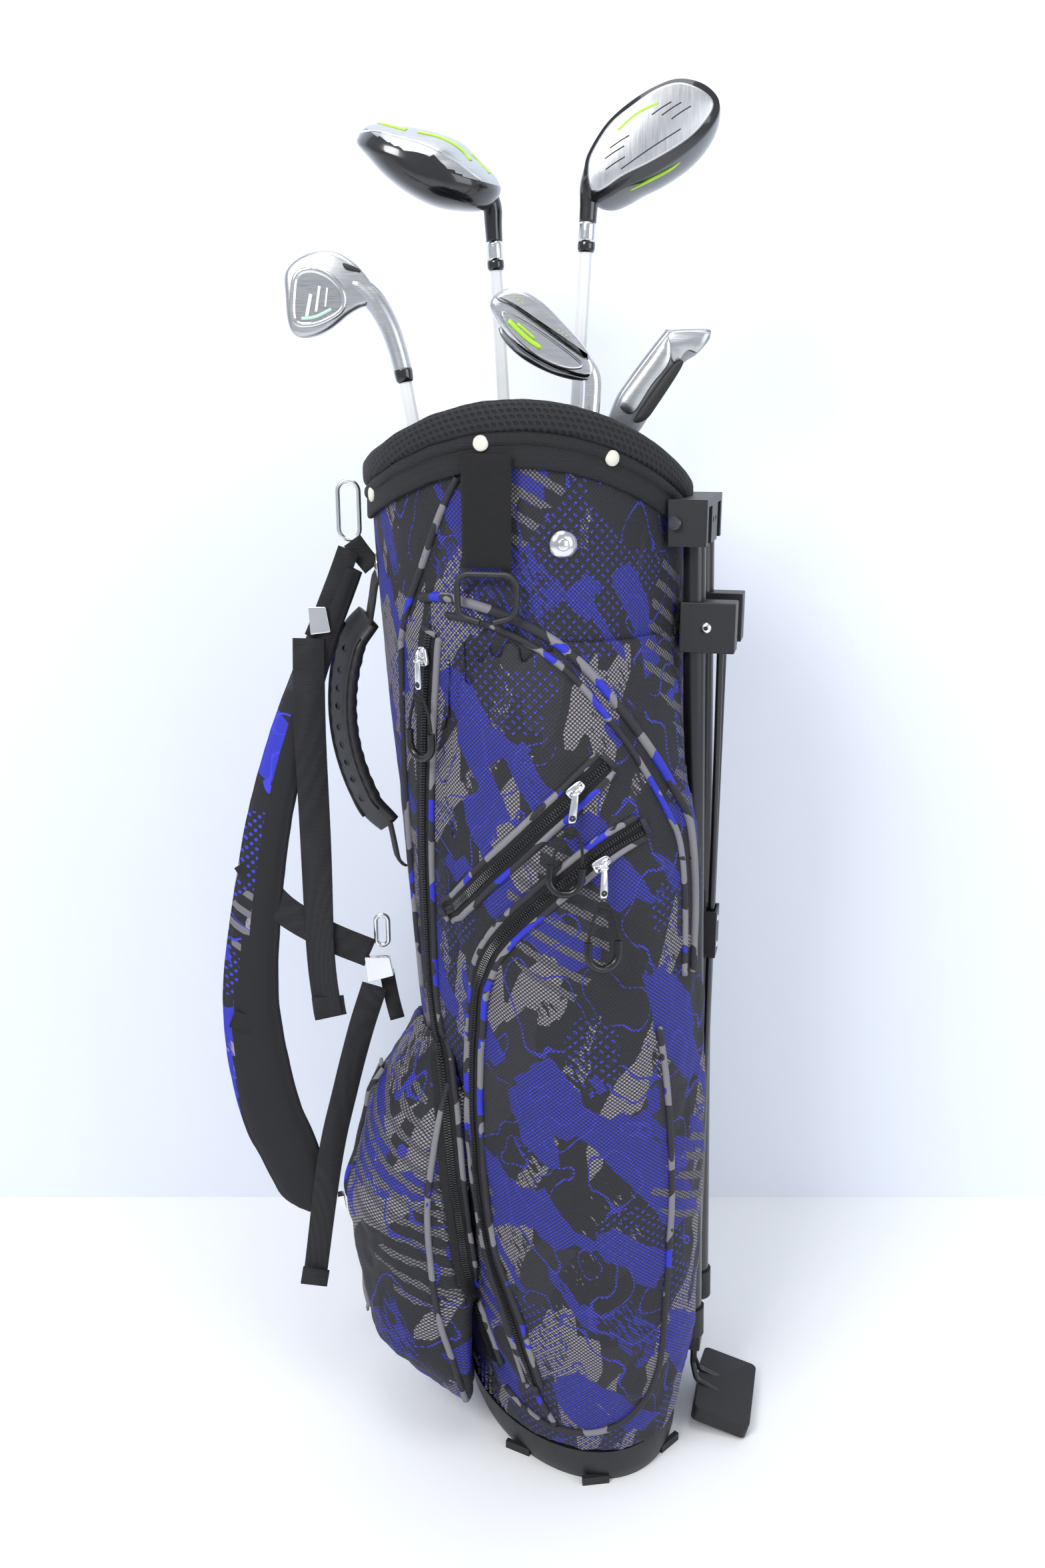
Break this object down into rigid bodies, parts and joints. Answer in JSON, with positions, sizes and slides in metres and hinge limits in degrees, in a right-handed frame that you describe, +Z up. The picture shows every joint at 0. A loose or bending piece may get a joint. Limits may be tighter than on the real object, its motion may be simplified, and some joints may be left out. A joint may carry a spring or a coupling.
{
  "type": "golf club set",
  "caption": "Upright stand bag with zipped pockets, fold-out legs and a carry handle, holding lift-out golf clubs.",
  "frame": {"origin": "middle of the base boot's resting face", "axes": "+Z up the bag, +X towards the stand legs, -X towards the handle and straps, -Y towards the zipped pockets"},
  "size_m": [0.4543, 0.2881, 1.0483],
  "materials": {
    "printed_fabric": "woven, printed",
    "spacer_mesh": "open mesh",
    "black_webbing": "ribbed weave",
    "black_moulding": "satin moulding",
    "black_rubber": "matte",
    "bright_metal": "plated",
    "black_coated_metal": "satin coat",
    "black_cord": "braid",
    "pale_shaft": "gloss paint",
    "club_grip": "patterned",
    "black_head": "gloss",
    "satin_steel": "satin",
    "polished_steel": "polished",
    "grey_steel": "satin grey"
  },
  "bodies": {
    "bag": {"bag_shell": "printed_fabric", "collar_pad": "spacer_mesh", "rim_band": "black_webbing", "mouth_frame": "black_moulding", "base_boot": "black_moulding", "base_lugs": "black_rubber", "apparel_pocket": "printed_fabric", "lower_pocket": "printed_fabric", "side_pocket": "printed_fabric", "rear_pocket": "printed_fabric", "stand_bracket": "black_moulding", "leg_pins": "bright_metal", "wire_guide": "black_moulding", "carry_handle": "black_moulding", "handle_loops": "black_webbing", "shoulder_strap": "printed_fabric", "strap_webbing": "black_webbing", "strap_hardware": "bright_metal", "glove_tab": "black_webbing", "zip_tapes": "black_webbing"},
    "leg_near": {"leg_tube_near": "black_coated_metal", "leg_foot_near": "black_rubber", "leg_clamp_near": "black_moulding"},
    "leg_far": {"leg_tube_far": "black_coated_metal", "leg_foot_far": "black_rubber", "leg_clamp_far": "black_moulding"},
    "kick_wire": {"kick_rods": "black_coated_metal", "wire_sleeve": "black_moulding", "kick_foot": "black_rubber"},
    "strand_near": {"strand_near": "black_coated_metal"},
    "strand_far": {"strand_far": "black_coated_metal"},
    "d_ring": {"d_ring": "black_moulding"},
    "driver": {"driver_head": "black_head", "driver_shaft": "pale_shaft", "driver_grip": "club_grip"},
    "fairway_wood": {"fairway_wood_head": "black_head", "fairway_wood_shaft": "pale_shaft", "fairway_wood_grip": "club_grip"},
    "iron": {"iron_head": "satin_steel", "iron_shaft": "pale_shaft", "iron_grip": "club_grip"},
    "wedge": {"wedge_head": "polished_steel", "wedge_shaft": "pale_shaft", "wedge_grip": "club_grip"},
    "putter": {"putter_head": "grey_steel", "putter_shaft": "pale_shaft", "putter_grip": "club_grip"},
    "long_zip": {"long_zip_slider": "bright_metal"},
    "long_pull": {"long_zip_tab": "bright_metal", "long_zip_cord": "black_cord", "long_zip_grip": "black_rubber"},
    "upper_zip": {"upper_zip_slider": "bright_metal"},
    "upper_pull": {"upper_zip_tab": "bright_metal", "upper_zip_cord": "black_cord", "upper_zip_grip": "black_rubber"},
    "lower_zip": {"lower_zip_slider": "bright_metal"},
    "lower_pull": {"lower_zip_tab": "bright_metal", "lower_zip_cord": "black_cord", "lower_zip_grip": "black_rubber"},
    "side_zip": {"side_zip_slider": "bright_metal"}
  },
  "joints": [
    {"name": "leg_near_swing", "type": "hinge", "parent": "bag", "child": "leg_near", "pos_m": [0.07831, -0.05793, 0.766], "axis": [-0.6293, -0.7771, 0], "range_deg": [0, 26]},
    {"name": "leg_far_swing", "type": "hinge", "parent": "bag", "child": "leg_far", "pos_m": [0.09186, -0.0036, 0.766], "axis": [0.1908, -0.9816, 0], "range_deg": [0, 26]},
    {"name": "kick_wire_lift", "type": "slide", "parent": "bag", "child": "kick_wire", "axis": [0, 0, 1], "range_m": [0, 0.0167]},
    {"name": "strand_near_swing", "type": "hinge", "parent": "kick_wire", "child": "strand_near", "pos_m": [0.10452, -0.03548, 0.46], "axis": [0.6293, 0.7771, 0], "range_deg": [0, 7.6]},
    {"name": "strand_far_swing", "type": "hinge", "parent": "kick_wire", "child": "strand_far", "pos_m": [0.10622, -0.02868, 0.46], "axis": [-0.1908, 0.9816, 0], "range_deg": [0, 7.6]},
    {"name": "driver_lift", "type": "slide", "parent": "bag", "child": "driver", "axis": [-0.0572, -0.0011, 0.9984], "range_m": [0, 0.86]},
    {"name": "fairway_wood_lift", "type": "slide", "parent": "bag", "child": "fairway_wood", "axis": [0.0515, 0.0105, 0.9986], "range_m": [0, 0.86]},
    {"name": "iron_lift", "type": "slide", "parent": "bag", "child": "iron", "axis": [-0.1745, 0.0046, 0.9846], "range_m": [0, 0.86]},
    {"name": "wedge_lift", "type": "slide", "parent": "bag", "child": "wedge", "axis": [-0.0073, 0.0219, 0.9997], "range_m": [0, 0.86]},
    {"name": "putter_lift", "type": "slide", "parent": "bag", "child": "putter", "axis": [-0.0049, -0.045, 0.999], "range_m": [0, 0.86]},
    {"name": "long_zip_slide", "type": "slide", "parent": "bag", "child": "long_zip", "axis": [0.0632, 0.0153, -0.9979], "range_m": [0, 0.23]},
    {"name": "upper_zip_slide", "type": "slide", "parent": "bag", "child": "upper_zip", "axis": [-0.7001, -0.0285, -0.7135], "range_m": [0, 0.039]},
    {"name": "lower_zip_slide", "type": "slide", "parent": "bag", "child": "lower_zip", "axis": [0.7966, 0.3483, 0.4941], "range_m": [0, 0.034]},
    {"name": "side_zip_slide", "type": "slide", "parent": "bag", "child": "side_zip", "axis": [0.1354, -0.0142, -0.9907], "range_m": [0, 0.093]},
    {"name": "long_pull_swing", "type": "hinge", "parent": "long_zip", "child": "long_pull", "pos_m": [-0.11632, -0.09477, 0.67552], "axis": [-0.7471, 0.6637, -0.0372], "range_deg": [0, 75]},
    {"name": "upper_pull_swing", "type": "hinge", "parent": "upper_zip", "child": "upper_pull", "pos_m": [-0.00663, -0.13943, 0.59217], "axis": [-0.9917, -0.011, -0.1283], "range_deg": [0, 75]},
    {"name": "lower_pull_swing", "type": "hinge", "parent": "lower_zip", "child": "lower_pull", "pos_m": [0.01327, -0.14327, 0.53954], "axis": [-0.9468, -0.3091, -0.0891], "range_deg": [0, 75]},
    {"name": "d_ring_swing", "type": "hinge", "parent": "bag", "child": "d_ring", "pos_m": [-0.06701, -0.12036, 0.736], "axis": [-0.9703, 0.2419, 0], "range_deg": [0, 90]}
  ],
  "couplings": [
    {"joint": "leg_far_swing", "follows": "leg_near_swing", "ratio": 1},
    {"joint": "kick_wire_lift", "follows": "leg_near_swing", "m_per_rad": 0.0366},
    {"joint": "strand_near_swing", "follows": "leg_near_swing", "ratio": 0.2885},
    {"joint": "strand_far_swing", "follows": "leg_near_swing", "ratio": 0.2885}
  ]
}
